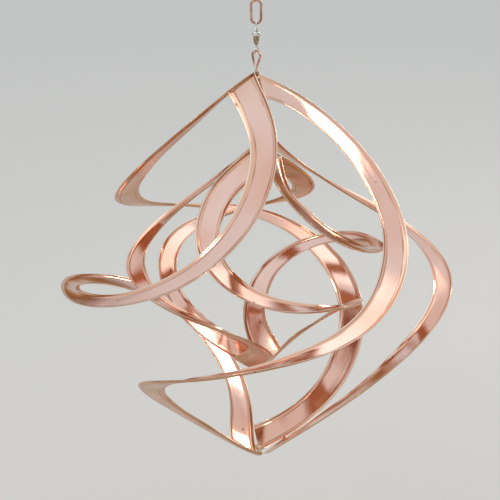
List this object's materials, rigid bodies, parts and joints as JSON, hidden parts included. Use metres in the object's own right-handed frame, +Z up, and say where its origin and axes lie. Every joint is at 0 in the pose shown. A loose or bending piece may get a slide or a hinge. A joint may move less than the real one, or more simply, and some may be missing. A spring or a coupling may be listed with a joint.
{
  "type": "hanging wind spinner",
  "caption": "Hanging wind spinner: two open cages of twisted copper ribbon, one inside the other, on ball bearing swivels under a chain link.",
  "frame": {"origin": "the point the link hangs from: the underside of the link's top bend, on the spin axis", "axes": "+Z up along the spin axis; the picture looks along +Y from the -Y side, with +X to its right"},
  "size_m": [0.3315, 0.3316, 0.415],
  "materials": {
    "copper_sheet": "polished copper sheet",
    "copper_wire": "drawn copper wire, slightly tarnished",
    "nickel_plate": "bright nickel plate",
    "bearing_steel": "polished bearing steel",
    "braze": "dull braze metal"
  },
  "bodies": {
    "link": {"hanging_link": "copper_wire"},
    "upper_swivel_body": {"upper_swivel_top_eye": "nickel_plate", "upper_swivel_collar": "nickel_plate", "upper_swivel_barrel": "nickel_plate", "upper_swivel_ball_1": "bearing_steel", "upper_swivel_ball_2": "bearing_steel", "upper_swivel_ball_3": "bearing_steel", "upper_swivel_ball_4": "bearing_steel", "upper_swivel_ball_5": "bearing_steel", "upper_swivel_ball_6": "bearing_steel"},
    "upper_swivel_eye": {"upper_swivel_bottom_eye": "nickel_plate"},
    "outer_cage": {"outer_hook_wire": "copper_wire", "outer_top_braze": "braze", "outer_ribbon_left": "copper_sheet", "outer_ribbon_front": "copper_sheet", "outer_ribbon_right": "copper_sheet", "outer_ribbon_back": "copper_sheet", "outer_bottom_rivet": "braze"},
    "lower_swivel_body": {"lower_swivel_top_eye": "nickel_plate", "lower_swivel_collar": "nickel_plate", "lower_swivel_barrel": "nickel_plate", "lower_swivel_ball_1": "bearing_steel", "lower_swivel_ball_2": "bearing_steel", "lower_swivel_ball_3": "bearing_steel", "lower_swivel_ball_4": "bearing_steel", "lower_swivel_ball_5": "bearing_steel", "lower_swivel_ball_6": "bearing_steel"},
    "lower_swivel_eye": {"lower_swivel_bottom_eye": "nickel_plate"},
    "inner_cage": {"inner_hook_wire": "copper_wire", "inner_top_braze": "braze", "inner_ribbon_left": "copper_sheet", "inner_ribbon_front": "copper_sheet", "inner_ribbon_right": "copper_sheet", "inner_ribbon_back": "copper_sheet", "inner_bottom_rivet": "braze"}
  },
  "joints": [
    {"name": "upper_swing", "type": "hinge", "parent": "link", "child": "upper_swivel_body", "pos_m": [0, 0, -0.0174], "axis": [1, 0, 0], "range_deg": [-30, 30]},
    {"name": "outer_spin", "type": "hinge", "parent": "upper_swivel_body", "child": "upper_swivel_eye", "pos_m": [0, 0, -0.03], "axis": [0, 0, 1], "continuous": true},
    {"name": "outer_swing", "type": "hinge", "parent": "upper_swivel_eye", "child": "outer_cage", "pos_m": [0, 0, -0.04195], "axis": [0.5736, 0.8192, 0], "range_deg": [-30, 30]},
    {"name": "lower_swing", "type": "hinge", "parent": "outer_cage", "child": "lower_swivel_body", "pos_m": [0, 0, -0.0738], "axis": [0.8192, -0.5736, 0], "range_deg": [-5, 5]},
    {"name": "inner_spin", "type": "hinge", "parent": "lower_swivel_body", "child": "lower_swivel_eye", "pos_m": [0, 0, -0.0865], "axis": [0, 0, 1], "continuous": true},
    {"name": "inner_swing", "type": "hinge", "parent": "lower_swivel_eye", "child": "inner_cage", "pos_m": [0, 0, -0.09845], "axis": [0.5736, 0.8192, 0], "range_deg": [-5, 5]}
  ]
}
